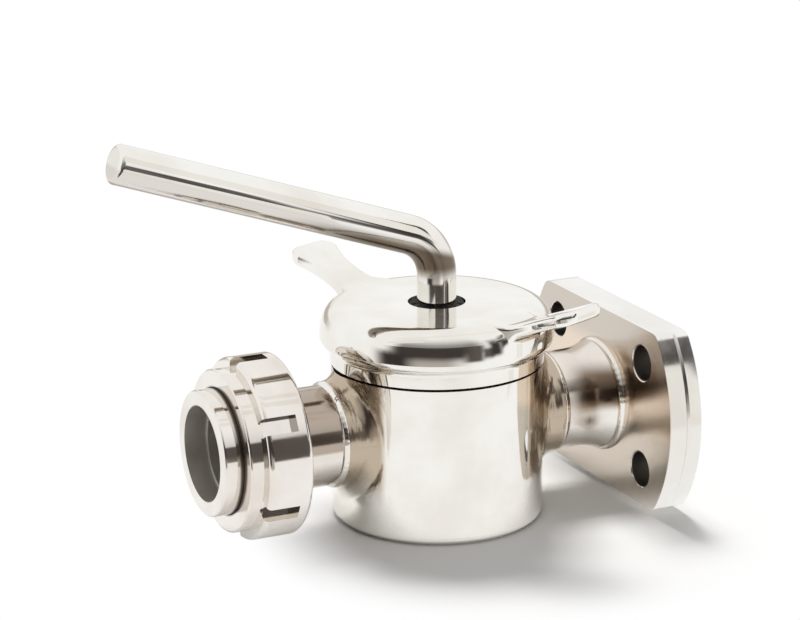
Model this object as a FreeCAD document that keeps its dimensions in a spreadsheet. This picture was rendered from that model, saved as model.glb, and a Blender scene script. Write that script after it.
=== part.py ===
import FreeCAD, Part
import math
import os
import Sketcher

# Two way tanker valve: a quarter turn plug valve between a tank flange and a dairy union.
# Lengths are millimetres and angles degrees. In the drawing the plug turns about Z, the
# product flows along X, the union is on the -X side and the tank flange on the +X side.
# Every piece is then moved so that the origin is the centre of the flange's mounting face.

os.makedirs("parts", exist_ok=True)
doc = FreeCAD.newDocument("tanker_valve")
sheet = doc.addObject("Spreadsheet::Sheet", "Sizes")


class Size:
    """A length or angle that knows its number and the cell formula it comes from."""

    def __init__(self, value, text):
        self.value = float(value)
        self.text = text

    def join(self, other, sign, value):
        return Size(value, "(%s %s %s)" % (self.text, sign, asSize(other).text))

    def __add__(self, other):
        return self.join(other, "+", self.value + asSize(other).value)

    def __sub__(self, other):
        return self.join(other, "-", self.value - asSize(other).value)

    def __mul__(self, other):
        return self.join(other, "*", self.value * asSize(other).value)

    def __truediv__(self, other):
        return self.join(other, "/", self.value / asSize(other).value)

    def __neg__(self):
        return Size(-self.value, "(0 - %s)" % self.text)


def asSize(number):
    return number if isinstance(number, Size) else Size(number, repr(float(number)))


def sine(angle):
    return Size(math.sin(math.radians(angle.value)), "sin(%s)" % angle.text)


def cosine(angle):
    return Size(math.cos(math.radians(angle.value)), "cos(%s)" % angle.text)


def tangent(angle):
    return Size(math.tan(math.radians(angle.value)), "tan(%s)" % angle.text)


def squareRoot(size):
    return Size(math.sqrt(size.value), "sqrt(%s)" % size.text)


rowCount = 0


def cell(alias, number):
    """Write one driving size into the sheet and return it."""
    global rowCount
    rowCount += 1
    sheet.set("A%d" % rowCount, alias)
    sheet.set("B%d" % rowCount, str(number))
    sheet.setAlias("B%d" % rowCount, alias)
    return Size(number, "Sizes.%s" % alias)


# Fits and gaps
runningGap = cell("runningGap", 0.08)
looseGap = cell("looseGap", 0.3)
seamGap = cell("seamGap", 1.5)
threadGap = cell("threadGap", 1)
overrun = cell("overrun", 1)

# Flow line
flowBore = cell("flowBore", 46)
pipeWall = cell("pipeWall", 2.5)
faceToAxis = cell("faceToAxis", 112)
axisHeight = cell("axisHeight", 50)

# Body
bodyDiameter = cell("bodyDiameter", 108)
shoulderHeight = cell("shoulderHeight", 30.75)
threadHeight = cell("threadHeight", 16.25)
threadStep = cell("threadStep", 5)
floorThickness = cell("floorThickness", 7.5)
baseRound = cell("baseRound", 4)
bossStep = cell("bossStep", 1.6)
bossReach = cell("bossReach", 61)
bossBlend = cell("bossBlend", 8)

# Tapered seat and plug
seatDiameter = cell("seatDiameter", 76)
seatAngle = cell("seatAngle", 4)
plugRecess = cell("plugRecess", 7)
plugFootGap = cell("plugFootGap", 2)
sealOffset = cell("sealOffset", 32)
sealCord = cell("sealCord", 3.5)
sealPlay = cell("sealPlay", 0.35)
washerThickness = cell("washerThickness", 3)
washerInset = cell("washerInset", 4)
springOuter = cell("springOuter", 60)
springInner = cell("springInner", 34)
springThickness = cell("springThickness", 2.5)

# Handle
rodDiameter = cell("rodDiameter", 20)
rodBend = cell("rodBend", 24)
rodAngle = cell("rodAngle", 18.9)
rodReach = cell("rodReach", 170)
rodRise = cell("rodRise", 31.4)
rodEndRound = cell("rodEndRound", 2.5)
hubWall = cell("hubWall", 3.5)
hubDepth = cell("hubDepth", 7)
hubGap = cell("hubGap", 1.2)
socketDepth = cell("socketDepth", 25)
pinDiameter = cell("pinDiameter", 5)
pinDepth = cell("pinDepth", 9)
wiperThickness = cell("wiperThickness", 3)

# Wing cap
gasketThickness = cell("gasketThickness", 2)
gasketWidth = cell("gasketWidth", 6.4)
plateThickness = cell("plateThickness", 13)
skirtStep = cell("skirtStep", 0.6)
skirtBend = cell("skirtBend", 3)
bulgeStep = cell("bulgeStep", 5.1)
bulgeHeight = cell("bulgeHeight", 13.25)
bulgeRound = cell("bulgeRound", 5)
flankRound = cell("flankRound", 30)
shoulderRound = cell("shoulderRound", 10.5)
wingAngle = cell("wingAngle", 112.5)
wingLiftAngle = cell("wingLiftAngle", 20.5)
wingReach = cell("wingReach", 95)
wingRoot = cell("wingRoot", 57)
wingBend = cell("wingBend", 12)
wingThickness = cell("wingThickness", 6.5)
wingRootWidth = cell("wingRootWidth", 38)
wingTipWidth = cell("wingTipWidth", 30)
wingSweep = cell("wingSweep", 3)
wingWaistRound = cell("wingWaistRound", 40)
wingCorner = cell("wingCorner", 8)
wingEdge = cell("wingEdge", 2.4)
wingBlend = cell("wingBlend", 6.6)
wingSink = cell("wingSink", 0.8)

# Union
neckLength = cell("neckLength", 26.5)
weldWidth = cell("weldWidth", 3)
weldRise = cell("weldRise", 1.6)
maleHubLength = cell("maleHubLength", 2.5)
maleThread = cell("maleThread", 17)
ringThickness = cell("ringThickness", 5)
ringWall = cell("ringWall", 8)
ringStand = cell("ringStand", 1)
linerCollar = cell("linerCollar", 4)
linerProud = cell("linerProud", 9.5)
linerRound = cell("linerRound", 1)
threadLead = cell("threadLead", 1)
linerWall = cell("linerWall", 7.6)
socketStep = cell("socketStep", 1.15)
tubeStopDepth = cell("tubeStopDepth", 12)
nutDiameter = cell("nutDiameter", 92)
nutWall = cell("nutWall", 2.7)
nutLip = cell("nutLip", 7.5)
nutOverhang = cell("nutOverhang", 2)
nutCollar = cell("nutCollar", 8)
nutRim = cell("nutRim", 6.5)
nutRound = cell("nutRound", 2.5)
slotDepth = cell("slotDepth", 5)
slotWidth = cell("slotWidth", 8.5)
slotCount = 6

# Tank flange
flangeDiameter = cell("flangeDiameter", 150)
flangeHeight = cell("flangeHeight", 94)
flangeThickness = cell("flangeThickness", 18)
flangeCorner = cell("flangeCorner", 7)
boltPatternWidth = cell("boltPatternWidth", 90)
boltPatternHeight = cell("boltPatternHeight", 57)
boltHole = cell("boltHole", 18)
boltChamfer = cell("boltChamfer", 0.8)
rimGrooveDepth = cell("rimGrooveDepth", 0.9)
rimGrooveWidth = cell("rimGrooveWidth", 2)
rimGroovePlace = cell("rimGroovePlace", 10.5)
faceSealDiameter = cell("faceSealDiameter", 62)
faceSealWidth = cell("faceSealWidth", 4)
faceSealDepth = cell("faceSealDepth", 3)
flareStep = cell("flareStep", 3)
flareLength = cell("flareLength", 14)
flareSeat = cell("flareSeat", 4)

doc.recompute()

# Sizes that follow from the driving ones
bodyRadius = bodyDiameter / 2
boreRadius = flowBore / 2
pipeRadius = boreRadius + pipeWall
threadRadius = bodyRadius - threadStep
bodyTop = shoulderHeight + threadHeight
seatRadius = seatDiameter / 2
seatTaper = tangent(seatAngle)
floorHeight = -(axisHeight - floorThickness)
plugTop = bodyTop - plugRecess
plugFoot = floorHeight + plugFootGap
capUnderside = bodyTop + gasketThickness
capTop = capUnderside + plateThickness
hubRadius = rodDiameter / 2 + hubWall
hubTop = capTop - hubDepth
rodFoot = hubTop - socketDepth
capHoleRadius = hubRadius + hubGap
skirtFoot = shoulderHeight + seamGap
skirtRadius = bodyRadius + skirtStep
bulgeRadius = skirtRadius + bulgeStep
bulgePlace = skirtFoot + bulgeHeight
bossRadius = pipeRadius + bossStep


def seatRadiusAt(height):
    return seatRadius + height * seatTaper


def originPlane(body, role):
    return [feature for feature in body.Origin.OriginFeatures if feature.Role == role][0]


def newBody(label):
    """A named piece, placed so that the flange's mounting face is at x = 0."""
    body = doc.addObject("PartDesign::Body", label)
    body.Label = label
    body.setExpression("Placement.Base.x", "-Sizes.faceToAxis")
    return body


def newSketch(body, name, role):
    sketch = body.newObject("Sketcher::SketchObject", name)
    sketch.AttachmentSupport = [(originPlane(body, role), "")]
    sketch.MapMode = "FlatFace"
    return sketch


def bind(sketch, constraint, size):
    """Add a constraint with its size tied to the sheet."""
    index = sketch.addConstraint(constraint)
    sketch.setExpression("Constraints[%d]" % index, size.text)


def arcCentre(start, end, radius):
    """Centre of the arc from start to end; a positive radius turns left."""
    half = FreeCAD.Vector((end[0] - start[0]) / 2, (end[1] - start[1]) / 2, 0)
    left = FreeCAD.Vector(-half.y, half.x, 0)
    left.normalize()
    offset = math.sqrt(radius * radius - half.Length * half.Length)
    middle = FreeCAD.Vector(start[0] + half.x, start[1] + half.y, 0)
    return middle + left * math.copysign(offset, radius)


def addOutline(sketch, corners):
    """Draw a closed outline. A corner is (x, y), or (x, y, radius) where an arc leaves it."""
    first = sketch.GeometryCount
    corners = [tuple(asSize(number) for number in corner) for corner in corners]
    flat = [(corner[0].value, corner[1].value) for corner in corners]
    starts = []
    for index, corner in enumerate(corners):
        here = flat[index]
        there = flat[(index + 1) % len(flat)]
        if len(corner) == 2:
            edge = Part.LineSegment(FreeCAD.Vector(*here, 0), FreeCAD.Vector(*there, 0))
            starts.append((1, 2))
        else:
            radius = corner[2].value
            centre = arcCentre(here, there, radius)
            begin = math.atan2(here[1] - centre.y, here[0] - centre.x)
            finish = math.atan2(there[1] - centre.y, there[0] - centre.x)
            circle = Part.Circle(centre, FreeCAD.Vector(0, 0, 1), abs(radius))
            if radius > 0:
                edge = Part.ArcOfCircle(circle, begin, finish)
                starts.append((1, 2))
            else:
                edge = Part.ArcOfCircle(circle, finish, begin)
                starts.append((2, 1))
        sketch.addGeometry(edge, False)
    for index, corner in enumerate(corners):
        edge = first + index
        following = (index + 1) % len(corners)
        sketch.addConstraint(Sketcher.Constraint("Coincident", edge, starts[index][1],
                                                 first + following, starts[following][0]))
        bind(sketch, Sketcher.Constraint("DistanceX", edge, starts[index][0], flat[index][0]), corner[0])
        bind(sketch, Sketcher.Constraint("DistanceY", edge, starts[index][0], flat[index][1]), corner[1])
        if len(corner) == 3:
            size = corner[2] if corner[2].value > 0 else -corner[2]
            bind(sketch, Sketcher.Constraint("Radius", edge, size.value), size)


def addCircle(sketch, across, up, radius):
    """Draw a circle about (across, up)."""
    across, up = asSize(across), asSize(up)
    edge = sketch.addGeometry(Part.Circle(FreeCAD.Vector(across.value, up.value, 0),
                                          FreeCAD.Vector(0, 0, 1), radius.value), False)
    bind(sketch, Sketcher.Constraint("DistanceX", edge, 3, across.value), across)
    bind(sketch, Sketcher.Constraint("DistanceY", edge, 3, up.value), up)
    bind(sketch, Sketcher.Constraint("Radius", edge, radius.value), radius)


def turned(body, name, corners, axis, kind="PartDesign::Revolution"):
    """Turn an outline drawn in the XZ plane about the flow axis X or the plug axis Z."""
    sketch = newSketch(body, name + "_profile", "XZ_Plane")
    addOutline(sketch, corners)
    feature = body.newObject(kind, name)
    feature.Profile = sketch
    feature.ReferenceAxis = (sketch, ["H_Axis" if axis == "X" else "V_Axis"])
    feature.Angle = 360
    sketch.Visibility = False
    doc.recompute()
    return feature


def grooved(body, name, corners, axis):
    return turned(body, name, corners, axis, "PartDesign::Groove")


def pushed(body, name, role, draw, length, kind="PartDesign::Pocket", place=None):
    """Pad or pocket a sketch the same distance to both sides of its plane."""
    sketch = newSketch(body, name + "_profile", role)
    if place is not None:
        sketch.setExpression("AttachmentOffset.Base.z", place.text)
    draw(sketch)
    feature = body.newObject(kind, name)
    feature.Profile = sketch
    feature.SideType = "Symmetric"
    feature.Length = length.value
    feature.setExpression("Length", length.text)
    sketch.Visibility = False
    doc.recompute()
    return feature


def edgeNames(shape, belongs):
    """Names of the edges whose inner sample points all pass the test."""
    names = []
    for number, edge in enumerate(shape.Edges, 1):
        points = edge.discretize(7)[1:-1]
        if all(belongs(point) for point in points):
            names.append("Edge%d" % number)
    return names


def rounded(body, name, belongs, radius, kind="PartDesign::Fillet"):
    """Fillet or chamfer the edges of the body's last feature that pass the test."""
    base = body.Tip
    feature = body.newObject(kind, name)
    feature.Base = (base, edgeNames(base.Shape, belongs))
    setting = "Radius" if kind == "PartDesign::Fillet" else "Size"
    setattr(feature, setting, radius.value)
    feature.setExpression(setting, radius.text)
    doc.recompute()
    return feature


def chamfered(body, name, belongs, size):
    return rounded(body, name, belongs, size, "PartDesign::Chamfer")


pickSlack = 0.01


def near(number, size):
    return abs(number - size.value) < pickSlack


def fromFlowAxis(point):
    return math.hypot(point.y, point.z)


def fromPlugAxis(point):
    return math.hypot(point.x, point.y)


# Valve body: a round cup with a tapered seat, a threaded top and two blended branches
def makeValveBody():
    body = newBody("valve_body")
    rim = bodyRadius - baseRound
    turned(body, "cup", [
        (0, -axisHeight), (rim, -axisHeight, baseRound), (bodyRadius, -axisHeight + baseRound),
        (bodyRadius, bodyTop), (0, bodyTop),
    ], "Z")
    pushed(body, "branches", "YZ_Plane", lambda sketch: addCircle(sketch, 0, 0, bossRadius),
           bossReach * 2, "PartDesign::Pad")
    rounded(body, "branch_blend",
            lambda point: near(fromPlugAxis(point), bodyRadius) and near(fromFlowAxis(point), bossRadius),
            bossBlend)
    grooved(body, "thread_band", [
        (threadRadius, shoulderHeight), (bossReach + overrun, shoulderHeight),
        (bossReach + overrun, bodyTop + overrun), (threadRadius, bodyTop + overrun),
    ], "Z")
    grooved(body, "tapered_seat", [
        (0, floorHeight), (seatRadiusAt(floorHeight), floorHeight),
        (seatRadiusAt(bodyTop + overrun), bodyTop + overrun), (0, bodyTop + overrun),
    ], "Z")
    pushed(body, "flow_way", "YZ_Plane", lambda sketch: addCircle(sketch, 0, 0, boreRadius),
           bossReach * 2 + overrun)
    return body


# Plug: a tapered plug with a straight way through it, two seal grooves and a hub for the handle
def plugRadiusAt(height):
    return seatRadiusAt(height) - runningGap


def sealGroove(height):
    floor = plugRadiusAt(height) - sealCord
    half = sealCord / 2 + sealPlay
    outside = plugRadiusAt(height) + overrun
    return [
        (floor, height - half), (outside, height - half), (outside, height + half), (floor, height + half),
    ]


def drawPin(sketch):
    addCircle(sketch, 0, hubTop - pinDepth, pinDiameter / 2)


def makePlug():
    body = newBody("plug")
    socket = rodDiameter / 2 + runningGap
    turned(body, "cone", [
        (0, plugFoot), (plugRadiusAt(plugFoot), plugFoot), (plugRadiusAt(plugTop), plugTop),
        (hubRadius, plugTop), (hubRadius, hubTop), (0, hubTop),
    ], "Z")
    grooved(body, "upper_seal_groove", sealGroove(sealOffset), "Z")
    grooved(body, "lower_seal_groove", sealGroove(-sealOffset), "Z")
    pushed(body, "way_through", "YZ_Plane", lambda sketch: addCircle(sketch, 0, 0, boreRadius), bodyDiameter)
    grooved(body, "handle_socket", [
        (0, rodFoot), (socket, rodFoot), (socket, hubTop + overrun), (0, hubTop + overrun),
    ], "Z")
    pushed(body, "pin_hole", "XZ_Plane", drawPin, hubRadius * 2 + overrun)
    return body


# Round cord seals in the plug's grooves
def makePlugSeal(label, height):
    ring = doc.addObject("Part::Torus", label)
    ring.Label = label
    ring.setExpression("Radius1", (plugRadiusAt(height) - sealCord / 2).text)
    ring.setExpression("Radius2", (sealCord / 2).text)
    ring.setExpression("Placement.Base.x", "-Sizes.faceToAxis")
    ring.setExpression("Placement.Base.z", height.text)
    return ring


# Slip washer between the plug and its spring
def makeThrustWasher():
    body = newBody("thrust_washer")
    inner = hubRadius + looseGap
    outer = seatRadiusAt(plugTop) - washerInset
    top = plugTop + washerThickness
    turned(body, "washer", [(inner, plugTop), (outer, plugTop), (outer, top), (inner, top)], "Z")
    return body


# Disc spring that presses the plug into its seat
def makeDiscSpring():
    body = newBody("disc_spring")
    foot = plugTop + washerThickness
    turned(body, "cone", [
        (springInner / 2, capUnderside - springThickness), (springOuter / 2, foot),
        (springOuter / 2, foot + springThickness), (springInner / 2, capUnderside),
    ], "Z")
    return body


# Flat gasket between the body's rim and the cap
def makeCoverGasket():
    body = newBody("cover_gasket")
    outer = threadRadius - looseGap
    inner = outer - gasketWidth
    turned(body, "gasket", [
        (inner, bodyTop), (outer, bodyTop), (outer, capUnderside), (inner, capUnderside),
    ], "Z")
    return body


# Wing cap: a screwed cap with a rounded shoulder and two ears that rise outwards
def earUnderside():
    """Place across and up where the ears' underside turns down, and the height where it ends."""
    across = bulgeRadius - wingSink + wingBlend - wingBlend * sine(wingLiftAngle)
    height = capTop + (across - wingRoot) * tangent(wingLiftAngle) - wingThickness / cosine(wingLiftAngle)
    return across, height, height - wingBlend * cosine(wingLiftAngle)


def earRing():
    """Half section of a dish whose rim makes the ears: its underside flows into the cap's side."""
    turnAcross, turnHeight, foot = earUnderside()
    far = wingReach + wingCorner
    farTop = capTop + (far - wingRoot) * tangent(wingLiftAngle)
    bendLength = wingBend * tangent(wingLiftAngle / 2)
    return [
        (0, foot), (bulgeRadius - wingSink, foot, -wingBlend), (turnAcross, turnHeight),
        (far, farTop - wingThickness / cosine(wingLiftAngle)), (far, farTop),
        (wingRoot + bendLength * cosine(wingLiftAngle), capTop + bendLength * sine(wingLiftAngle),
         -wingBend),
        (wingRoot - bendLength, capTop), (0, capTop),
    ]


def earPlan(sketch):
    """Frame that leaves the ears' outline seen from above: a root, a waist and a swept tip."""
    reach = wingReach
    rootPlace = wingRoot - wingBend
    rootHalf = wingRootWidth / 2
    front = -wingSweep - wingTipWidth / 2
    back = -wingSweep + wingTipWidth / 2
    tipPlace = reach - wingCorner
    addOutline(sketch, [
        (rootPlace, -rootHalf, -wingWaistRound), (tipPlace, front, wingCorner),
        (reach, front + wingCorner), (reach, back - wingCorner, wingCorner),
        (tipPlace, back, -wingWaistRound), (rootPlace, rootHalf), (-rootPlace, rootHalf, -wingWaistRound),
        (-tipPlace, back, wingCorner), (-reach, back - wingCorner),
        (-reach, front + wingCorner, wingCorner), (-tipPlace, front, -wingWaistRound),
        (-rootPlace, -rootHalf),
    ])
    far = reach + wingCorner * 2
    addOutline(sketch, [(-far, -far), (far, -far), (far, far), (-far, far)])


def capOutline():
    """Half section of the cap: a skirt, a quick turn out to the widest place, a flank and a shoulder."""
    bulgeCentre = bulgeRadius - bulgeRound
    bendCentre = skirtRadius + skirtBend
    reach = bulgeRound + skirtBend
    spread = bendCentre - bulgeCentre
    drop = squareRoot(reach * reach - spread * spread)
    bendShare = skirtBend / reach
    flankCentre = bulgeRadius - flankRound
    shoulderAcross, shoulderUp = shoulderPlace()
    flankShare = flankRound / (flankRound - shoulderRound)
    return [
        (0, skirtFoot), (skirtRadius, skirtFoot), (skirtRadius, bulgePlace - drop, -skirtBend),
        (bendCentre - spread * bendShare, bulgePlace - drop + drop * bendShare, bulgeRound),
        (bulgeRadius, bulgePlace, flankRound),
        (flankCentre + (shoulderAcross - flankCentre) * flankShare,
         bulgePlace + (shoulderUp - bulgePlace) * flankShare, shoulderRound),
        (shoulderAcross, capTop), (0, capTop),
    ]


def shoulderPlace():
    """Centre of the shoulder's arc, which touches the flat top and the flank's arc."""
    flankCentre = bulgeRadius - flankRound
    up = capTop - shoulderRound
    reach = flankRound - shoulderRound
    rise = up - bulgePlace
    return flankCentre + squareRoot(reach * reach - rise * rise), up


def makeWingCap():
    body = newBody("wing_cap")
    body.setExpression("Placement.Rotation.Angle", "Sizes.wingAngle")
    throughCap = (capTop + wingReach) * 2
    turned(body, "ear_ring", earRing(), "Z")
    pushed(body, "ear_outline", "XY_Plane", earPlan, throughCap)
    rounded(body, "ear_edges", isEarEdge, wingEdge)
    turned(body, "cap", capOutline(), "Z")
    threadBore = threadRadius + threadGap
    grooved(body, "thread_bore", [
        (0, skirtFoot - overrun), (threadBore, skirtFoot - overrun), (threadBore, capUnderside),
        (0, capUnderside),
    ], "Z")
    pushed(body, "stem_hole", "XY_Plane", lambda sketch: addCircle(sketch, 0, 0, capHoleRadius), throughCap)
    return body


def isEarEdge(point):
    """Outside the ears' root and above the flat foot that stays inside the cap."""
    foot = earUnderside()[2].value + pickSlack
    root = (wingRoot - wingBend).value + pickSlack
    return abs(point.x) > root and point.z > foot


# Handle: a bent round rod that stands in the plug's hub and points back over the union
def makeHandle():
    body = newBody("handle")
    apex = capTop + rodRise
    spine = newSketch(body, "rod_line", "XZ_Plane")
    bendLength = rodBend * (asSize(1) - sine(rodAngle)) / cosine(rodAngle)
    end = (-rodReach, apex + rodReach * tangent(rodAngle))
    bendEnd = (-(bendLength * cosine(rodAngle)), apex + bendLength * sine(rodAngle))
    bendStart = apex - bendLength
    corners = [(asSize(0), rodFoot), (asSize(0), bendStart), bendEnd, end]
    points = [FreeCAD.Vector(across.value, up.value, 0) for across, up in corners]
    centre = FreeCAD.Vector(-rodBend.value, bendStart.value, 0)
    stand = spine.addGeometry(Part.LineSegment(points[0], points[1]), False)
    angle = math.atan2(points[2].y - centre.y, points[2].x - centre.x)
    bend = spine.addGeometry(Part.ArcOfCircle(Part.Circle(centre, FreeCAD.Vector(0, 0, 1), rodBend.value),
                                              0, angle), False)
    arm = spine.addGeometry(Part.LineSegment(points[2], points[3]), False)
    spine.addConstraint(Sketcher.Constraint("Tangent", stand, 2, bend, 1))
    spine.addConstraint(Sketcher.Constraint("Tangent", bend, 2, arm, 1))
    bind(spine, Sketcher.Constraint("DistanceX", stand, 1, 0), asSize(0))
    bind(spine, Sketcher.Constraint("DistanceY", stand, 1, points[0].y), rodFoot)
    spine.addConstraint(Sketcher.Constraint("Vertical", stand))
    bind(spine, Sketcher.Constraint("DistanceY", stand, 2, points[1].y), bendStart)
    bind(spine, Sketcher.Constraint("Radius", bend, rodBend.value), rodBend)
    bind(spine, Sketcher.Constraint("DistanceX", arm, 2, points[3].x), end[0])
    bind(spine, Sketcher.Constraint("DistanceY", arm, 2, points[3].y), end[1])
    section = newSketch(body, "rod_section", "XY_Plane")
    section.setExpression("AttachmentOffset.Base.z", rodFoot.text)
    addCircle(section, 0, 0, rodDiameter / 2)
    rod = body.newObject("PartDesign::AdditivePipe", "rod")
    rod.Profile = section
    rod.Spine = (spine, ["Edge1", "Edge2", "Edge3"])
    doc.recompute()
    reach = rodReach.value - rodDiameter.value
    rounded(body, "end_round", lambda point: point.x < -reach, rodEndRound)
    pushed(body, "pin_hole", "XZ_Plane", drawPin, rodDiameter + overrun)
    return body


# Cross pin that locks the handle in the hub
def makeHandlePin():
    body = newBody("handle_pin")
    pushed(body, "pin", "XZ_Plane", drawPin, hubRadius * 2 - looseGap * 2, "PartDesign::Pad")
    return body


# Wiper ring that lies on the hub round the handle
def makeStemWiper():
    body = newBody("stem_wiper")
    inner = rodDiameter / 2
    outer = capHoleRadius - looseGap * 2
    top = hubTop + wiperThickness
    turned(body, "wiper", [(inner, hubTop), (outer, hubTop), (outer, top), (inner, top)], "Z")
    return body


# Places along the flow line, measured from the plug axis
neckEnd = bossReach + neckLength
maleBack = neckEnd + maleHubLength
maleFace = maleBack + maleThread
linerFace = maleFace + ringStand
collarBack = linerFace + linerCollar
nutFront = collarBack + nutLip
nutBack = maleBack - nutOverhang
linerEnd = nutFront + linerProud
slotFloor = nutDiameter / 2 - slotDepth
nutBore = slotFloor - nutWall
maleRadius = nutBore - threadGap
socketRadius = boreRadius + socketStep
linerRadius = socketRadius + linerWall
ringRadius = boreRadius + ringWall
flangeBack = faceToAxis - flangeThickness
flareRadius = pipeRadius + flareStep


# Weld bead: a low round bead on the pipe, against the end face of the piece it joins
def makeWeld(label, place, direction, radius):
    body = newBody(label)
    end = place + weldWidth * direction
    turned(body, "bead", [
        (place, radius), (place, radius + weldRise, weldWidth * -direction), (end, radius),
    ], "X")
    return body


def makeInletNeck():
    body = newBody("inlet_neck")
    turned(body, "tube", [
        (-neckEnd, boreRadius), (-bossReach, boreRadius), (-bossReach, pipeRadius), (-neckEnd, pipeRadius),
    ], "X")
    return body


# Male part of the union: a screwed collar with a recess for the joint ring
def makeUnionMalePart():
    body = newBody("union_male_part")
    hub = pipeRadius + bossStep
    recess = ringRadius + runningGap
    recessFloor = linerFace - ringThickness
    turned(body, "male", [
        (-maleFace, recess), (-recessFloor, recess), (-recessFloor, boreRadius), (-neckEnd, boreRadius),
        (-neckEnd, hub), (-maleBack, hub), (-maleBack, maleRadius - threadLead),
        (-(maleBack + threadLead), maleRadius), (-(maleFace - threadLead), maleRadius),
        (-maleFace, maleRadius - threadLead),
    ], "X")
    return body


def makeUnionJointRing():
    body = newBody("union_joint_ring")
    foot = linerFace - ringThickness
    turned(body, "ring", [
        (-linerFace, boreRadius), (-foot, boreRadius), (-foot, ringRadius), (-linerFace, ringRadius),
    ], "X")
    return body


# Liner: a thick tube end with a collar for the nut and a socket with a tube stop
def makeUnionLiner():
    body = newBody("union_liner")
    collar = maleRadius - looseGap
    stop = linerEnd - tubeStopDepth
    turned(body, "liner", [
        (-linerEnd, socketRadius), (-stop, socketRadius), (-stop, boreRadius), (-linerFace, boreRadius),
        (-linerFace, collar), (-collarBack, collar), (-collarBack, linerRadius),
        (-(linerEnd - linerRound), linerRadius, linerRound), (-linerEnd, linerRadius - linerRound),
    ], "X")
    return body


# Union nut: a round slotted nut for a hook spanner, with a lip in front and a full rim behind
def makeUnionNut():
    body = newBody("union_nut")
    lip = linerRadius + looseGap
    outer = nutDiameter / 2
    step = nutFront - nutCollar
    turned(body, "nut", [
        (-nutFront, lip), (-collarBack, lip), (-collarBack, nutBore), (-nutBack, nutBore),
        (-nutBack, outer - nutRound, nutRound), (-(nutBack + nutRound), outer),
        (-(step - nutRound), outer, nutRound), (-step, outer - nutRound), (-step, slotFloor),
        (-(nutFront - linerRound), slotFloor, linerRound), (-nutFront, slotFloor - linerRound),
    ], "X")
    rim = nutBack + nutRim

    def drawSlot(sketch):
        addOutline(sketch, [
            (-(nutFront + overrun), slotFloor), (-rim, slotFloor), (-rim, outer + overrun),
            (-(nutFront + overrun), outer + overrun),
        ])

    slot = pushed(body, "spanner_slot", "XZ_Plane", drawSlot, slotWidth)
    slots = body.newObject("PartDesign::PolarPattern", "spanner_slots")
    slots.Originals = [slot]
    slots.Axis = (slot.Profile[0], ["H_Axis"])
    slots.Angle = 360
    slots.Occurrences = slotCount
    body.Tip = slots
    doc.recompute()
    return body


# Outlet neck: a tube that flares towards the flange
def makeOutletNeck():
    body = newBody("outlet_neck")
    flareEnd = flangeBack - flareSeat
    flareRound = (flareLength * flareLength + flareStep * flareStep) / (flareStep * 2)
    turned(body, "tube", [
        (bossReach, boreRadius), (flangeBack, boreRadius), (flangeBack, flareRadius),
        (flareEnd, flareRadius, -flareRound), (flareEnd - flareLength, pipeRadius), (bossReach, pipeRadius),
    ], "X")
    return body


# Tank flange: a round plate with its top and bottom cut flat, four bolt holes and a face seal
def drawFlange(sketch):
    radius = flangeDiameter / 2
    level = flangeHeight / 2
    inner = level - flangeCorner
    across = squareRoot((radius - flangeCorner) * (radius - flangeCorner) - inner * inner)
    grow = radius / (radius - flangeCorner)
    side = across * grow
    rise = inner * grow
    addOutline(sketch, [
        (-across, -level), (across, -level, flangeCorner), (side, -rise, radius), (side, rise, flangeCorner),
        (across, level), (-across, level, flangeCorner), (-side, rise, radius), (-side, -rise, flangeCorner),
    ])


def makeMountingFlange():
    body = newBody("mounting_flange")
    radius = flangeDiameter / 2
    middle = faceToAxis - flangeThickness / 2
    through = flangeThickness + overrun
    pushed(body, "plate", "YZ_Plane", drawFlange, flangeThickness, "PartDesign::Pad", middle)
    pushed(body, "flow_way", "YZ_Plane", lambda sketch: addCircle(sketch, 0, 0, boreRadius), through,
           place=middle)

    def drawBoltHoles(sketch):
        for across in (-1, 1):
            for up in (-1, 1):
                addCircle(sketch, boltPatternWidth / 2 * across, boltPatternHeight / 2 * up, boltHole / 2)

    pushed(body, "bolt_holes", "YZ_Plane", drawBoltHoles, through, place=middle)
    chamfered(body, "bolt_hole_edges", isBoltHoleEdge, boltChamfer)
    groove = flangeBack + rimGroovePlace
    halfGroove = rimGrooveWidth / 2
    grooved(body, "rim_groove", [
        (groove - halfGroove, radius), (groove, radius - rimGrooveDepth), (groove + halfGroove, radius),
        (groove + halfGroove, radius + overrun), (groove - halfGroove, radius + overrun),
    ], "X")
    inner, outer, floor = faceSealPlaces()
    grooved(body, "seal_groove", [
        (floor, inner), (faceToAxis + overrun, inner), (faceToAxis + overrun, outer), (floor, outer),
    ], "X")
    return body


def isBoltHoleEdge(point):
    """On a bolt hole's rim at the back of the flange; the mounting face keeps sharp rims."""
    across = abs(point.y) - boltPatternWidth.value / 2
    up = abs(point.z) - boltPatternHeight.value / 2
    return near(math.hypot(across, up), boltHole / 2) and near(point.x, flangeBack)


def faceSealPlaces():
    """Inner radius, outer radius and floor of the face seal's groove."""
    inner = faceSealDiameter / 2 - faceSealWidth / 2
    return inner, inner + faceSealWidth, faceToAxis - faceSealDepth


def makeFlangeSeal():
    body = newBody("flange_seal")
    inner, outer, floor = faceSealPlaces()
    face = faceToAxis - runningGap
    turned(body, "ring", [
        (floor, inner + runningGap), (face, inner + runningGap), (face, outer - runningGap),
        (floor, outer - runningGap),
    ], "X")
    return body


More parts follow.
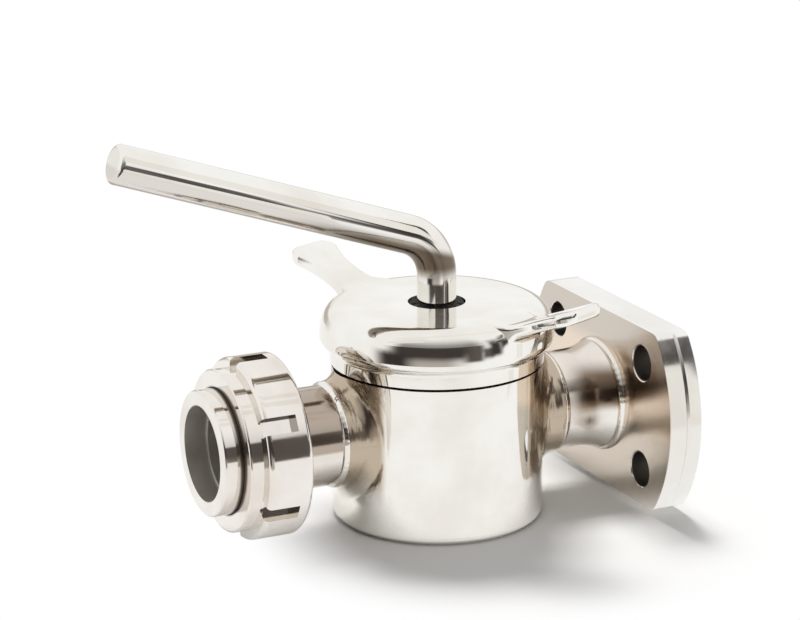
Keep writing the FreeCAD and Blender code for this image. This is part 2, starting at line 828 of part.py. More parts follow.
pieces = [
    makeValveBody(), makePlug(), makePlugSeal("plug_seal_upper", sealOffset),
    makePlugSeal("plug_seal_lower", -sealOffset), makeThrustWasher(), makeDiscSpring(), makeCoverGasket(),
    makeWingCap(), makeHandle(), makeHandlePin(), makeStemWiper(),
    makeWeld("inlet_weld", -bossReach, -1, pipeRadius), makeInletNeck(),
    makeWeld("male_weld", -neckEnd, 1, pipeRadius), makeUnionMalePart(), makeUnionJointRing(),
    makeUnionLiner(), makeUnionNut(),
    makeWeld("outlet_weld", bossReach, 1, pipeRadius), makeOutletNeck(),
    makeWeld("flange_weld", flangeBack, -1, flareRadius), makeMountingFlange(), makeFlangeSeal(),
]
doc.recompute()

# Every object and every piece must be sound before anything is written
for thing in doc.Objects:
    if "Invalid" in thing.State or "Error" in thing.State:
        raise ValueError("object %s is in state %s" % (thing.Label, thing.State))
for piece in pieces:
    if piece.Shape.isNull() or not piece.Shape.isValid() or len(piece.Shape.Solids) != 1:
        raise ValueError("piece %s is not one sound solid" % piece.Label)

for piece in pieces:
    piece.Shape.exportStep("parts/%s.step" % piece.Label)
    print("%-18s %10.1f mm3" % (piece.Label, piece.Shape.Volume))
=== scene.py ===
import math
import bmesh
import bpy
from mathutils import Matrix, Vector


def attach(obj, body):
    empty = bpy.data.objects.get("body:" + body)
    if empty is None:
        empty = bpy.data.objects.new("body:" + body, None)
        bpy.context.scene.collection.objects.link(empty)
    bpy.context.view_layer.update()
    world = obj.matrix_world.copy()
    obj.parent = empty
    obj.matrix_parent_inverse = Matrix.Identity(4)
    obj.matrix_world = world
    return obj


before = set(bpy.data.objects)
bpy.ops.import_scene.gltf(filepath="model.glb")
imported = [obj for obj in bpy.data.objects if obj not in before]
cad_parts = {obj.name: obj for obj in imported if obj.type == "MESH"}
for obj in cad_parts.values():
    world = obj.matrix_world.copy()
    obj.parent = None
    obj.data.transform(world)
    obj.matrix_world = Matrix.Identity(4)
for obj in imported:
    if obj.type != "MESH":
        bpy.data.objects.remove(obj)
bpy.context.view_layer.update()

scene = bpy.context.scene
scene.view_settings.view_transform = "Standard"

camera = {
    "place": (-0.7208, -1.2602, 0.4632),  # fitted to the photo together with the sizes
    "azimuth": -25.024,  # degrees, 0 looks along +Y
    "elevation": 16.171,
    "roll": -0.431,
    "lens": 129.42,  # mm
    "sensor": 36.0,
}


def makeCamera():
    azimuth = math.radians(camera["azimuth"])
    elevation = math.radians(camera["elevation"])
    level = math.cos(elevation)
    look = Vector((-math.sin(azimuth) * level, math.cos(azimuth) * level, -math.sin(elevation)))
    lens = bpy.data.cameras.new("photoCamera")
    lens.lens = camera["lens"]
    lens.sensor_width = camera["sensor"]
    viewer = bpy.data.objects.new("photoCamera", lens)
    scene.collection.objects.link(viewer)
    turn = look.to_track_quat("-Z", "Y").to_matrix().to_4x4()
    roll = Matrix.Rotation(math.radians(camera["roll"]), 4, "Z")
    viewer.matrix_world = Matrix.Translation(camera["place"]) @ turn @ roll
    scene.camera = viewer


makeCamera()
print("camera set")


def linear(hexColour):
    # sRGB hex to the linear colour that a socket takes
    channels = [int(hexColour[place:place + 2], 16) / 255 for place in (1, 3, 5)]
    return [c / 12.92 if c <= 0.04045 else ((c + 0.055) / 1.055) ** 2.4 for c in channels] + [1.0]


def addNode(tree, kind, inputs=None, **settings):
    # One node with its settings; an input is a value, or a socket to link from
    node = tree.nodes.new(kind)
    for name, value in settings.items():
        setattr(node, name, value)
    for name, value in (inputs or {}).items():
        if isinstance(value, bpy.types.NodeSocket):
            tree.links.new(value, node.inputs[name])
        else:
            node.inputs[name].default_value = value
    return node


studio = {
    "softLight": 0.46,  # light that comes evenly from all round
    "lampShare": 0.72,  # light that the soft box adds on a level surface
    "lampSize": 0.50,
    "lampPlace": (0.08, 0.66, 1.34),
    "lampAim": (-0.10, 0, 0),
    "floorTone": "#F6F5F3",
    "floorRoughness": 0.9,
    "floorPlace": (-0.10, 0, -0.0502),  # a hair under the body's foot
    "floorRadius": 0.62,
    "floorEdges": 96,
    "floorFade": (0.080, 0.140),  # metres from its centre over which the floor goes over to white
    "floorFadeCentre": (-0.085, -0.035, 0),
    "floorFadeStretch": (1, 1, 0),
    "mirroredFade": (0.050, 0.104),  # the same for what the metal mirrors
    "mirroredFadeCentre": (-0.10, 0.03, 0),
    "mirroredFadeStretch": (0.5, 1, 0),
}
# Only polished metal sees these. Each stretch has four angles in degrees round from the camera's
# side, positive to the right: it starts at the first, is full from the second to the third and ends
# at the fourth. It has four levels too, and a slanting one rises by so much for each degree round.
room = {  # levels in degrees over the horizon
    "ceilingGrey": {"round": (-50, -34, 34, 56), "level": (0, 8, 10, 72), "tone": "#6C6865"},
    "backWall": {"round": (125, 150, 210, 235), "level": (-8, -2, 5, 11), "tone": "#C4BEB6"},
}
darkCard = {  # a card that stands in front; levels in metres over the flow line
    "radius": 0.42, "foot": -0.09, "top": 0.44, "round": (-75, 95), "steps": 34,
    "stretches": {
        "paleFoot": {"round": (-66, -46, 6, 32), "level": (-0.080, -0.062, 0.08, 0.12),
                     "tone": "#B8B2AB"},
        "greyGap": {"round": (18, 30, 38, 45), "level": (-0.03, -0.008, 0.165, 0.200),
                    "tone": "#5E5855"},
        "lowGap": {"round": (39, 44, 50, 54), "level": (-0.03, 0.03, 0.09, 0.14),
                   "tone": "#5E5855"},
        "darkMiddle": {"round": (-54, -33, 20, 36), "level": (-0.03, 0.065, 0.160, 0.200),
                       "tone": "#433D3B"},
        "darkLeft": {"round": (-61, -46, -34, -16), "level": (-0.062, -0.044, 0.04, 0.10),
                     "tone": "#3A3432"},
        "darkRight": {"round": (46, 52, 57, 63), "level": (-0.02, 0.035, 0.150, 0.42),
                      "tone": "#3D3734"},
        "darkRise": {"round": (57, 63, 84, 94), "level": (0.06, 0.11, 0.22, 0.40),
                     "tone": "#3D3734", "rise": 0.009},
    },
}


def stretchShare(tree, around, level, part):
    # How much of a stretch lies at a place, from 0 to 1
    if part.get("rise"):
        slant = addNode(tree, "ShaderNodeMath", {
            0: around, 1: -part["rise"], 2: part["rise"] * part["round"][1],
        }, operation="MULTIPLY_ADD").outputs[0]
        level = addNode(tree, "ShaderNodeMath", {0: level, 1: slant}, operation="ADD").outputs[0]
    leftEnd, left, right, rightEnd = part["round"]
    foot, low, high, top = part["level"]
    return share(tree, (around, leftEnd, left), (around, rightEnd, right), (level, foot, low),
                 (level, top, high))


def degreesRound(tree, position):
    # Degrees round from the camera's side, -90 to 270, of a direction or a place
    turned = addNode(tree, "ShaderNodeMapping", {
        "Vector": position, "Rotation": (0, 0, math.pi / 2 - math.radians(camera["azimuth"])),
    })
    axes = addNode(tree, "ShaderNodeSeparateXYZ", {"Vector": turned.outputs[0]})
    around = addNode(tree, "ShaderNodeMath", {0: axes.outputs["Y"], 1: axes.outputs["X"]},
                     operation="ARCTAN2")
    around = addNode(tree, "ShaderNodeMath", {0: around.outputs[0]}, operation="DEGREES").outputs[0]
    behind = addNode(tree, "ShaderNodeMath", {0: around, 1: -90.0}, operation="LESS_THAN")
    return addNode(tree, "ShaderNodeMath", {0: behind.outputs[0], 1: 360.0, 2: around},
                   operation="MULTIPLY_ADD").outputs[0]


def share(tree, *fades):
    # The product of fades; each takes a value and goes from 0 at its start to 1 at its end, which
    # may be the lower of the two
    total = None
    for value, start, end in fades:
        low, high = sorted((start, end))
        fade = addNode(tree, "ShaderNodeMapRange", {
            "Value": value, "From Min": low, "From Max": high, "To Min": 1 - (end > start),
            "To Max": 1.0 * (end > start),
        }, interpolation_type="SMOOTHSTEP").outputs[0]
        total = fade if total is None else addNode(tree, "ShaderNodeMath", {0: total, 1: fade},
                                                   operation="MULTIPLY").outputs[0]
    return total


def makeWorld():
    world = bpy.data.worlds.new("studio")
    scene.world = world
    world.use_nodes = True
    tree = world.node_tree
    tree.nodes.clear()
    direction = addNode(tree, "ShaderNodeTexCoord").outputs["Generated"]
    axes = addNode(tree, "ShaderNodeSeparateXYZ", {"Vector": direction})
    height = addNode(tree, "ShaderNodeMath", {0: axes.outputs["Z"]}, operation="ARCSINE")
    height = addNode(tree, "ShaderNodeMath", {0: height.outputs[0]}, operation="DEGREES").outputs[0]
    around = degreesRound(tree, direction)
    colour = (1, 1, 1, 1)
    for part in room.values():
        # A Mix node has one A and B for each data type; the colour ones are inputs 6 and 7
        colour = addNode(tree, "ShaderNodeMix", {
            0: stretchShare(tree, around, height, part), 6: colour, 7: linear(part["tone"]),
        }, data_type="RGBA").outputs[2]
    rays = addNode(tree, "ShaderNodeLightPath")
    mirrored = addNode(tree, "ShaderNodeMath", {
        0: rays.outputs["Is Glossy Ray"], 1: rays.outputs["Is Transmission Ray"],
    }, operation="MAXIMUM")
    white = (1, 1, 1, 1)
    soft = addNode(tree, "ShaderNodeBackground", {"Color": white, "Strength": studio["softLight"]})
    seen = addNode(tree, "ShaderNodeBackground", {"Color": white, "Strength": 1.0})
    shown = addNode(tree, "ShaderNodeBackground", {"Color": colour, "Strength": 1.0})
    metal = addNode(tree, "ShaderNodeMixShader", {
        0: mirrored.outputs[0], 1: soft.outputs[0], 2: shown.outputs[0],
    })
    whole = addNode(tree, "ShaderNodeMixShader", {
        0: rays.outputs["Is Camera Ray"], 1: metal.outputs[0], 2: seen.outputs[0],
    })
    addNode(tree, "ShaderNodeOutputWorld", {"Surface": whole.outputs[0]})


def makeLamp():
    # A large soft box, up and to one side, that gives the floor its soft shadow
    size = studio["lampSize"]
    place = Vector(studio["lampPlace"])
    aim = Vector(studio["lampAim"]) - place
    light = bpy.data.lights.new("softBox", "AREA")
    light.shape = "SQUARE"
    light.size = size
    # Power for the wanted share of light on a level surface at the object
    facing = -aim.normalized().z
    light.energy = studio["lampShare"] * math.pi ** 2 * aim.length ** 2 / facing
    lamp = bpy.data.objects.new("softBox", light)
    scene.collection.objects.link(lamp)
    turn = aim.to_track_quat("-Z", "Y").to_matrix().to_4x4()
    lamp.matrix_world = Matrix.Translation(place) @ turn
    lamp.visible_glossy = False


def makeDarkCard():
    # Seen by polished metal alone: it stands near, so a low piece mirrors it higher than a tall one
    tree = newMaterial("darkCard")
    centred = addNode(tree, "ShaderNodeVectorMath", {
        0: addNode(tree, "ShaderNodeTexCoord").outputs["Object"], 1: plugAxis,
    }, operation="SUBTRACT").outputs[0]
    level = addNode(tree, "ShaderNodeSeparateXYZ", {"Vector": centred}).outputs["Z"]
    around = degreesRound(tree, centred)
    surface = addNode(tree, "ShaderNodeBsdfTransparent")
    for part in darkCard["stretches"].values():
        tone = addNode(tree, "ShaderNodeEmission", {"Color": linear(part["tone"]), "Strength": 1.0})
        surface = addNode(tree, "ShaderNodeMixShader", {
            0: stretchShare(tree, around, level, part), 1: surface.outputs[0], 2: tone.outputs[0],
        })
    tree.links.new(surface.outputs[0], tree.nodes["Material Output"].inputs["Surface"])
    start, end = [math.radians(angle + camera["azimuth"] - 90) for angle in darkCard["round"]]
    strip = bmesh.new()
    corner = plugAxis + Vector((math.cos(start), math.sin(start), 0)) * darkCard["radius"]
    ends = [strip.verts.new(corner + Vector((0, 0, darkCard[side]))) for side in ("foot", "top")]
    edge = strip.edges.new(ends)
    bmesh.ops.spin(strip, geom=[*ends, edge], cent=plugAxis, axis=(0, 0, 1), angle=end - start,
                   steps=darkCard["steps"], use_merge=False)
    stageObject("darkCard", strip, "darkCard")


# White strips near the handle and the flange, seen by polished metal alone. Each has the places of
# its two ends from the plug's axis, and the levels of its foot and top there.
paleStrips = {
    "overHandle": {"ends": ((-0.17, -0.06), (0.060, -0.06)),
                   "foot": (0.1880, 0.0920), "top": (0.25, 0.18)},
    "underHandle": {"ends": ((-0.17, -0.06), (-0.040, -0.06)),
                    "foot": (0.118, 0.0735), "top": (0.1400, 0.1084)},
    "besideFlange": {"ends": ((0.100, -0.11), (0.136, -0.11)),
                     "foot": (-0.01, -0.01), "top": (0.060, 0.060)},
}
stripTone = "#F4F2EE"


def makePaleStrips():
    tree = newMaterial("paleStrip")
    glow = addNode(tree, "ShaderNodeEmission", {"Color": linear(stripTone), "Strength": 1.0})
    tree.links.new(glow.outputs[0], tree.nodes["Material Output"].inputs["Surface"])
    for name, part in paleStrips.items():
        strip = bmesh.new()
        for side in ("foot", "top"):
            for (x, y), level in zip(part["ends"], part[side]):
                strip.verts.new(plugAxis + Vector((x, y, level)))
        bmesh.ops.contextual_create(strip, geom=[strip.verts[:][corner] for corner in (0, 1, 3, 2)])
        stageObject(name, strip, "paleStrip")


def stageObject(name, shape, material):
    mesh = bpy.data.meshes.new(name)
    shape.to_mesh(mesh)
    shape.free()
    mesh.materials.append(bpy.data.materials[material])
    card = bpy.data.objects.new(name, mesh)
    scene.collection.objects.link(card)
    for ray in ("camera", "diffuse", "shadow", "volume_scatter"):
        setattr(card, "visible_" + ray, False)


def makeFloor():
    tree = newMaterial("paleFloor")
    shader = tree.nodes["Principled BSDF"]
    shader.inputs["Base Color"].default_value = linear(studio["floorTone"])
    shader.inputs["Roughness"].default_value = studio["floorRoughness"]
    shader.inputs["Specular IOR Level"].default_value = 0.0
    position = addNode(tree, "ShaderNodeTexCoord").outputs["Object"]
    rays = addNode(tree, "ShaderNodeLightPath")
    surface = shader
    for fade, ray in (("floorFade", "Is Camera Ray"), ("mirroredFade", "Is Glossy Ray")):
        centred = addNode(tree, "ShaderNodeVectorMath", {0: position, 1: studio[fade + "Centre"]},
                          operation="SUBTRACT").outputs[0]
        centred = addNode(tree, "ShaderNodeVectorMath", {0: centred, 1: studio[fade + "Stretch"]},
                          operation="MULTIPLY").outputs[0]
        distance = addNode(tree, "ShaderNodeVectorMath", {0: centred}, operation="LENGTH")
        gone = share(tree, (distance.outputs["Value"], *studio[fade]), (rays.outputs[ray], 0, 1))
        if ray == "Is Camera Ray":
            beyond = addNode(tree, "ShaderNodeEmission", {"Color": (1, 1, 1, 1), "Strength": 1.0})
        else:
            beyond = addNode(tree, "ShaderNodeBsdfTransparent")
        surface = addNode(tree, "ShaderNodeMixShader", {0: gone, 1: surface.outputs[0],
                                                        2: beyond.outputs[0]})
    tree.links.new(surface.outputs[0], tree.nodes["Material Output"].inputs["Surface"])
    mesh = bpy.data.meshes.new("floor")
    disc = bmesh.new()
    bmesh.ops.create_circle(disc, cap_ends=True, segments=studio["floorEdges"],
                            radius=studio["floorRadius"])
    bmesh.ops.translate(disc, verts=disc.verts, vec=studio["floorPlace"])
    disc.to_mesh(mesh)
    disc.free()
    mesh.materials.append(bpy.data.materials["paleFloor"])
    floor = bpy.data.objects.new("floor", mesh)
    scene.collection.objects.link(floor)


def newMaterial(name):
    material = bpy.data.materials.new(name)
    material.use_nodes = True
    return material.node_tree


plugAxis = Vector((-0.112, 0, 0))

makeWorld()
makeLamp()
makeDarkCard()
makePaleStrips()
makeFloor()
print("studio set: world, soft box, cards, floor")


# Parts of a piece with a tone and roughness of their own: some are a finish, others painted shade
# or painted reflection. Each limit names what it is measured along, where the zone starts and
# where it is full, in metres from the centre of the piece's finish.
zones = {
    # Round the body's branches the polishing wheel can't reach, so the casting stays satin there;
    # its dark brown tone is painted shade in the creases where the branches meet the body
    "satinAndShade": (("fromBranches", 0.0355, 0.0385), ("alongZ", -0.034, -0.014),
              ("roundX", 0.060, 0.044)),
    # The ledge under the cap, painted dark as the shade in the seam's gap
    "seamShade": (("alongZ", 0.0305, 0.0307), ("alongZ", 0.0318, 0.0312), ("roundZ", 0.0539, 0.0536)),
    # The rounded foot of the body, duller and painted darker as shade where it meets the floor
    "foot": (("alongZ", -0.0470, -0.0492),),
    # The walls of the flange's four bolt holes, painted dark as shade inside them
    "holeShade": (("fromHole", 0.0095, 0.0092),),
    # Inside the flow way
    "bored": (("roundX", 0.0247, 0.0243),),
    # The lower side of the arm, painted a little darker than its top as shade
    "armUnderShade": (("overArm", 0.000, -0.003), ("alongX", -0.008, -0.014)),
    # A thin brown line painted along the arm's underside as shade
    "armFootShade": (("overArm", -0.0086, -0.0097), ("alongX", -0.010, -0.016)),
    # Inside the handle's bend and under the arm near it, painted brown as shade
    "underArmShade": (("overArm", -0.0015, -0.0065), ("alongX", -0.095, -0.035),
                 ("alongZ", 0.074, 0.082)),
    # The flange's face towards the body, tinted darker beige: a painted reflection of the body
    "backFaceReflection": (("alongX", -0.0176, -0.0179),),
    # A warmer, paler band on that face, above and below the flow line: a painted reflection
    "faceBandReflection": (("alongX", -0.0176, -0.0179), ("alongZ", -0.010, -0.002),
                 ("alongZ", 0.034, 0.022)),
    # The corner between the union nut's lip and the liner, painted dark as shade in that recess
    "lipShade": (("roundX", 0.0332, 0.0318), ("roundX", 0.0300, 0.0306), ("alongX", -0.2340, -0.2325)),
    # A darker tone on the inlet neck's upper half between its two welds: painted reflection
    "inletTopReflection": (("alongX", -0.166, -0.172), ("alongX", -0.206, -0.200),
                  ("alongZ", -0.002, 0.000), ("roundX", 0.0270, 0.0262)),
    # A dark brown band on the outlet neck's upper side by the flange's weld: painted reflection
    "outletTopReflection": (("alongX", -0.050, -0.034), ("alongZ", -0.002, 0.004),
                   ("alongZ", 0.024, 0.016)),
}
zonePlaces = {
    "branchMiddle": -0.0075,  # along X from the plug's axis
    "boltHole": (0, 0.045, 0.0285),
    "armAngle": 18.9,  # degrees over the horizon
    "armLevel": 0.0934,  # where the arm's middle line would cross the plug's axis
}


def radiusRound(tree, position, axis):
    # Distance of a point from an axis of the drawing
    kept = {"X": (0, 1, 1), "Z": (1, 1, 0)}[axis]
    flat = addNode(tree, "ShaderNodeVectorMath", {0: position, 1: kept}, operation="MULTIPLY")
    flat = flat.outputs[0]
    return addNode(tree, "ShaderNodeVectorMath", {0: flat}, operation="LENGTH").outputs["Value"]


def measured(tree, centred, kind):
    # The value that a zone's limit is measured along
    if kind in ("roundX", "roundZ"):
        return radiusRound(tree, centred, kind[-1])
    if kind == "fromHole":  # the flange's four holes lie alike on both sides of both axes
        place = addNode(tree, "ShaderNodeVectorMath", {0: centred}, operation="ABSOLUTE")
        place = addNode(tree, "ShaderNodeVectorMath", {
            0: place.outputs[0], 1: zonePlaces["boltHole"],
        }, operation="SUBTRACT")
        return radiusRound(tree, place.outputs[0], "X")
    axes = addNode(tree, "ShaderNodeSeparateXYZ", {"Vector": centred}).outputs
    if kind == "fromBranches":
        across = addNode(tree, "ShaderNodeMath", {0: axes["X"], 1: -zonePlaces["branchMiddle"]},
                         operation="ADD").outputs[0]
        return addNode(tree, "ShaderNodeMath", {0: across}, operation="ABSOLUTE").outputs[0]
    if kind == "overArm":  # height over the middle line of the handle's bent arm
        slope = math.tan(math.radians(zonePlaces["armAngle"]))
        fall = addNode(tree, "ShaderNodeMath", {
            0: axes["X"], 1: slope, 2: -zonePlaces["armLevel"],
        }, operation="MULTIPLY_ADD").outputs[0]
        return addNode(tree, "ShaderNodeMath", {0: fall, 1: axes["Z"]}, operation="ADD").outputs[0]
    return axes[kind[-1]]


polishDetail = {
    "stainShare": (0.34, 0.62),  # noise over which the stained tone goes over to the clean one
    "hazeShare": (0.35, 0.75),  # noise over which the roughness rises
    "streakWidth": 0.006,
    "streakHeight": 0.0008,
    "rippleWidth": 0.0035,
}


def castPolish(name, centre, settings):
    # Mirror polished by hand on a casting or forging: bright, with a slow wobble in what it mirrors
    tree = newMaterial(name)
    position = addNode(tree, "ShaderNodeTexCoord").outputs["Object"]
    centred = addNode(tree, "ShaderNodeMapping", {
        "Vector": position, "Location": -centre,
    }).outputs[0]
    stains = addNode(tree, "ShaderNodeTexNoise", {
        "Vector": centred, "Scale": 1 / settings["stain"], "Detail": 4.0, "Roughness": 0.6,
    })
    colour = addNode(tree, "ShaderNodeMix", {
        0: share(tree, (stains.outputs["Fac"], *polishDetail["stainShare"])),
        6: linear(settings["stained"]), 7: linear(settings["clean"]),
    }, data_type="RGBA").outputs[2]
    hazeNoise = addNode(tree, "ShaderNodeTexNoise", {
        "Vector": centred, "Scale": 1 / settings["haze"], "Detail": 6.0, "Roughness": 0.7,
    })
    rough = addNode(tree, "ShaderNodeMapRange", {
        "Value": hazeNoise.outputs["Fac"],
        "From Min": polishDetail["hazeShare"][0], "From Max": polishDetail["hazeShare"][1],
        "To Min": settings["roughness"][0], "To Max": settings["roughness"][1],
    }).outputs[0]
    wobble = addNode(tree, "ShaderNodeTexNoise", {
        "Vector": centred, "Scale": 1 / settings["wave"], "Detail": 1.5, "Roughness": 0.45,
    })
    normal = addNode(tree, "ShaderNodeBump", {
        "Height": wobble.outputs["Fac"], "Strength": 1.0, "Distance": settings["waveHeight"],
    }).outputs[0]
    for zone, tone, roughness in settings["zones"]:
        mask = share(tree, *((measured(tree, centred, kind), start, end)
                             for kind, start, end in zones[zone]))
        colour = addNode(tree, "ShaderNodeMix", {0: mask, 6: colour, 7: linear(tone)},
                         data_type="RGBA").outputs[2]
        rough = addNode(tree, "ShaderNodeMix", {0: mask, 2: rough, 3: roughness}).outputs[0]
        if zone == "satinAndShade":
            streaks = addNode(tree, "ShaderNodeTexNoise", {
                "Vector": markVector(tree, centred, "X", polishDetail["streakWidth"]),
                "Scale": 1.0, "Detail": 2.0, "Roughness": 0.5,
            })
            height = addNode(tree, "ShaderNodeMath", {0: mask, 1: streaks.outputs["Fac"]},
                             operation="MULTIPLY")
            normal = addNode(tree, "ShaderNodeBump", {
                "Height": height.outputs[0], "Strength": 1.0,
                "Distance": polishDetail["streakHeight"], "Normal": normal,
            }).outputs[0]
    if "ripples" in settings:  # the scales of a weld bead, one behind the other round the tube
        turn = addNode(tree, "ShaderNodeSeparateXYZ", {
            "Vector": markVector(tree, centred, "X", polishDetail["rippleWidth"]),
        })
        turn = addNode(tree, "ShaderNodeMath", {
            0: turn.outputs["Z"], 1: float(settings["ripples"]), 2: wobble.outputs["Fac"],
        }, operation="MULTIPLY_ADD")
        scales = addNode(tree, "ShaderNodeMath", {0: turn.outputs[0]}, operation="SINE")
        normal = addNode(tree, "ShaderNodeBump", {
            "Height": scales.outputs[0], "Strength": 1.0, "Distance": settings["rippleHeight"],
            "Normal": normal,
        }).outputs[0]
    lines = addNode(tree, "ShaderNodeTexNoise", {
        "Vector": markVector(tree, centred, settings["axis"], settings["mark"]),
        "Scale": 1.0, "Detail": 3.0, "Roughness": 0.6,
    })
    normal = addNode(tree, "ShaderNodeBump", {
        "Height": lines.outputs["Fac"], "Strength": 1.0, "Distance": settings["markHeight"],
        "Normal": normal,
    }).outputs[0]
    shader = tree.nodes["Principled BSDF"]
    shader.inputs["Metallic"].default_value = 1.0
    tree.links.new(colour, shader.inputs["Base Color"])
    tree.links.new(rough, shader.inputs["Roughness"])
    tree.links.new(normal, shader.inputs["Normal"])
    return bpy.data.materials[name]


def markVector(tree, position, axis, width):
    # Marks of a turned piece run round its axis, so they change with the radius and along the
    # axis, and hardly round it
    parts = addNode(tree, "ShaderNodeSeparateXYZ", {"Vector": position})
    first, second, along = {"X": ("Y", "Z", "X"), "Z": ("X", "Y", "Z")}[axis]
    turn = addNode(tree, "ShaderNodeMath", {0: parts.outputs[second], 1: parts.outputs[first]},
                   operation="ARCTAN2")
    vector = addNode(tree, "ShaderNodeCombineXYZ", {
        "X": radiusRound(tree, position, axis), "Y": parts.outputs[along], "Z": turn.outputs[0],
    })
    return addNode(tree, "ShaderNodeVectorMath", {
        0: vector.outputs[0], 1: (1 / width, 1 / width, 1.0),
    }, operation="MULTIPLY").outputs[0]


# Polished stainless steel, grade 304: a nearly neutral mirror
castBody = {
    "clean": "#F4F2ED", "stained": "#EBE7E0", "stain": 0.060, "haze": 0.012,
    "roughness": (0.04, 0.12), "wave": 0.020, "waveHeight": 0.00012,
    "axis": "Z", "mark": 0.0012, "markHeight": 0.000002,
    # The satin zone's brown is partly painted shade; seam and foot tones are painted shade
    "zones": (("satinAndShade", "#BFB09D", 0.18), ("seamShade", "#453D36", 0.6), ("foot", "#8F877D", 0.25)),
}
castCap = dict(castBody, zones=())
turnedUnion = dict(castBody, axis="X", wave=0.030, waveHeight=0.00004, mark=0.0008,
                   markHeight=0.000003, clean="#EFEBE5", stained="#E3DBD2",
                   # The lip zone's dark tone is painted shade in the corner by the liner
                   zones=(("bored", "#D6D1CA", 0.5), ("lipShade", "#5E554E", 0.4)))
# The necks' darker tones on their upper sides are painted reflection
drawnTube = dict(turnedUnion, zones=(("bored", "#D6D1CA", 0.5), ("inletTopReflection", "#B3A699", 0.12),
                                     ("outletTopReflection", "#7D6B5B", 0.14)))
satinTube = dict(drawnTube, roughness=(0.16, 0.26))
weldSeam = dict(turnedUnion, zones=(), ripples=58, rippleHeight=0.00002)  # a scale every 3 mm
# The flange's back face and the band on it take painted reflection, its bolt holes painted shade
flangePlate = dict(castBody, axis="X", clean="#F4F3F0", stained="#EBE8E2", roughness=(0.14, 0.24),
                   zones=(("backFaceReflection", "#CFC6BB", 0.2), ("faceBandReflection", "#E9D8C6", 0.2),
                          ("holeShade", "#57514A", 0.5), ("bored", "#D6D1CA", 0.5)))
# The arm's lower side, the line under it and the inside of the bend take painted shade
handleRod = dict(castBody, axis="Z", wave=0.040, waveHeight=0.00003, markHeight=0.0000005,
                 zones=(("armUnderShade", "#DDD8D1", 0.1), ("armFootShade", "#8E8377", 0.2),
                        ("underArmShade", "#75695C", 0.2)))
seatedPlug = dict(castBody, clean="#CFCDC9", stained="#C2BFBA", roughness=(0.2, 0.3),
                  zones=(("bored", "#D6D1CA", 0.5),))
cutThread = dict(castBody, clean="#DAD7D2", stained="#CBC7C0", roughness=(0.16, 0.26), zones=())

finishes = {
    "polishedBody": (castBody, plugAxis, ["valve_body"]),
    "polishedCap": (castCap, plugAxis, ["wing_cap"]),
    "polishedHandle": (handleRod, plugAxis, ["handle"]),
    "polishedUnion": (turnedUnion, Vector(), ["union_nut", "union_liner", "union_male_part"]),
    "polishedTube": (drawnTube, Vector(), ["inlet_neck"]),
    "satinTube": (satinTube, Vector(), ["outlet_neck"]),
    "groundFlange": (flangePlate, Vector(), ["mounting_flange"]),
    "weldBead": (weldSeam, Vector(), ["inlet_weld", "male_weld", "outlet_weld", "flange_weld"]),
    "turnedPlug": (seatedPlug, plugAxis, ["plug", "handle_pin", "disc_spring"]),
    "machinedThread": (cutThread, plugAxis, []),
}


grainHeight = 0.00002


def plainSolid(name, colour, roughness, grain):
    # Rubber or moulded plastic with a fine grain
    tree = newMaterial(name)
    position = addNode(tree, "ShaderNodeTexCoord").outputs["Object"]
    noise = addNode(tree, "ShaderNodeTexNoise", {
        "Vector": position, "Scale": 1 / grain, "Detail": 3.0,
    })
    rise = addNode(tree, "ShaderNodeBump", {
        "Height": noise.outputs["Fac"], "Distance": grainHeight,
    })
    shader = tree.nodes["Principled BSDF"]
    shader.inputs["Base Color"].default_value = linear(colour)
    shader.inputs["Roughness"].default_value = roughness
    tree.links.new(rise.outputs[0], shader.inputs["Normal"])
    return bpy.data.materials[name]


def dress(names, material):
    for name in names:
        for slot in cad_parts[name].material_slots:
            slot.material = material


for name, (settings, centre, pieces) in finishes.items():
    dress(pieces, castPolish(name, centre, settings))
dress(["plug_seal_upper", "plug_seal_lower", "cover_gasket", "stem_wiper", "union_joint_ring",
       "flange_seal"], plainSolid("blackRubber", "#1D1D1C", 0.6, 0.0006))
dress(["thrust_washer"], plainSolid("whitePtfe", "#E9E8E2", 0.45, 0.001))
print("finishes given to all nodes")

# The threads hold the joints' pitches, and a female one is set half a turn on from its male one, so
# each runs in the other's groove at every pose. The union's is the round thread of dairy unions. A
# root lies a little inside its wall.
capThread = {
    "centre": plugAxis, "axis": Vector((0, 0, 1)), "pitch": 0.006, "width": 0.0034,
    "ridges": {
        "cap_thread_male": {"body": "valve", "turn": 0.0, "span": (0.0358, 0.0446),
                            "root": 0.04885, "crest": 0.04985},
        "cap_thread_female": {"body": "cap", "turn": 0.5, "span": (0.0388, 0.0464),
                              "root": 0.05015, "crest": 0.04915},
    },
}
unionThread = {
    "centre": Vector(), "axis": Vector((-1, 0, 0)), "pitch": 0.0254 / 6, "width": 0.0025,
    "ridges": {
        "union_thread_male": {"body": "valve", "turn": 0.0, "span": (0.2050, 0.2164),
                              "root": 0.03715, "crest": 0.03815},
        "union_thread_female": {"body": "nut", "turn": 0.5, "span": (0.20288, 0.21655),
                                "root": 0.03845, "crest": 0.03745},
    },
}
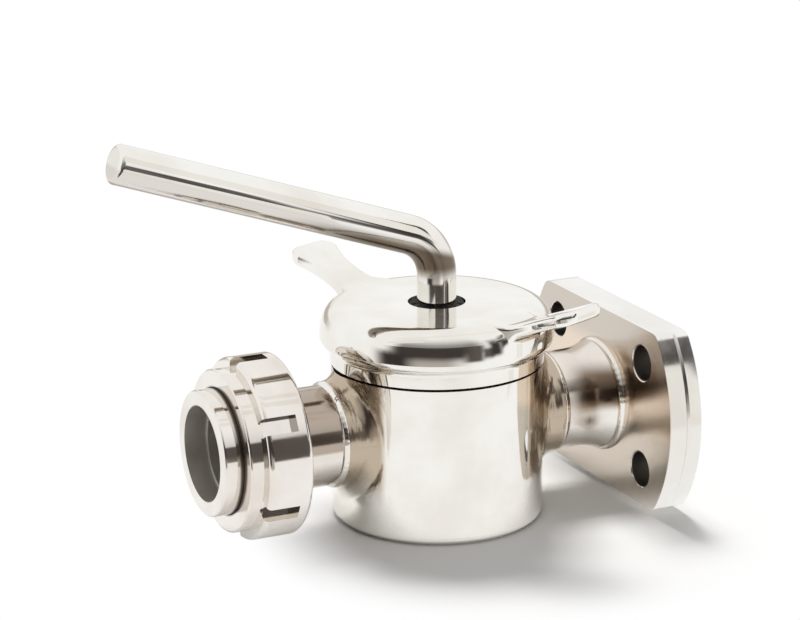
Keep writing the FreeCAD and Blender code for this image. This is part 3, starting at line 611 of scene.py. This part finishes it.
threadDetail = {
    "stepsPerTurn": 90,
    "across": 8,
    "runOut": 0.35,  # turns
    "endHeight": 0.06,  # share of the height that is left at the very end
}


def makeThread(name, thread, values):
    # A rounded ridge spun along its helix, running out to nothing at both ends
    axis = thread["axis"]
    first, last = values["span"]
    turns = (last - first) / thread["pitch"]
    steps = round(turns * threadDetail["stepsPerTurn"])
    # The ridge's angle follows its height, so that ridges on one pitch keep their places
    start = first / thread["pitch"] + values["turn"]
    side = Matrix.Rotation(math.tau * start, 3, axis) @ Vector((0, -1, 0))
    ridge = bmesh.new()
    across = threadDetail["across"]
    section = [ridge.verts.new(thread["centre"] + side * values["root"]
                               + axis * (first + thread["width"] * (place / across - 0.5)))
               for place in range(across + 1)]
    edges = [ridge.edges.new((section[place], section[place - 1])) for place in range(across + 1)]
    bmesh.ops.spin(ridge, geom=section + edges, cent=thread["centre"], axis=axis,
                   angle=math.tau * turns, steps=steps, dvec=axis * (last - first) / steps,
                   use_merge=False)
    ridge.verts.ensure_lookup_table()
    for number, vert in enumerate(ridge.verts):
        step, place = divmod(number, across + 1)
        ends = min(step, steps - step) / (threadDetail["runOut"] * threadDetail["stepsPerTurn"])
        full = threadDetail["endHeight"] + (1 - threadDetail["endHeight"]) * min(1, ends)
        height = full * 0.5 * (1 - math.cos(math.tau * place / across))
        arm = vert.co - thread["centre"]
        arm -= axis * arm.dot(axis)
        vert.co += arm.normalized() * (values["crest"] - values["root"]) * height
    bmesh.ops.holes_fill(ridge, edges=[edge for edge in ridge.edges if edge.is_boundary], sides=0)
    bmesh.ops.recalc_face_normals(ridge, faces=ridge.faces)
    for face in ridge.faces:
        face.smooth = True
    mesh = bpy.data.meshes.new(name)
    ridge.to_mesh(mesh)
    ridge.free()
    mesh.materials.append(bpy.data.materials["machinedThread"])
    piece = bpy.data.objects.new(name, mesh)
    scene.collection.objects.link(piece)
    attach(piece, values["body"])


for thread in (capThread, unionThread):
    for name, values in thread["ridges"].items():
        makeThread(name, thread, values)
print("threads made")
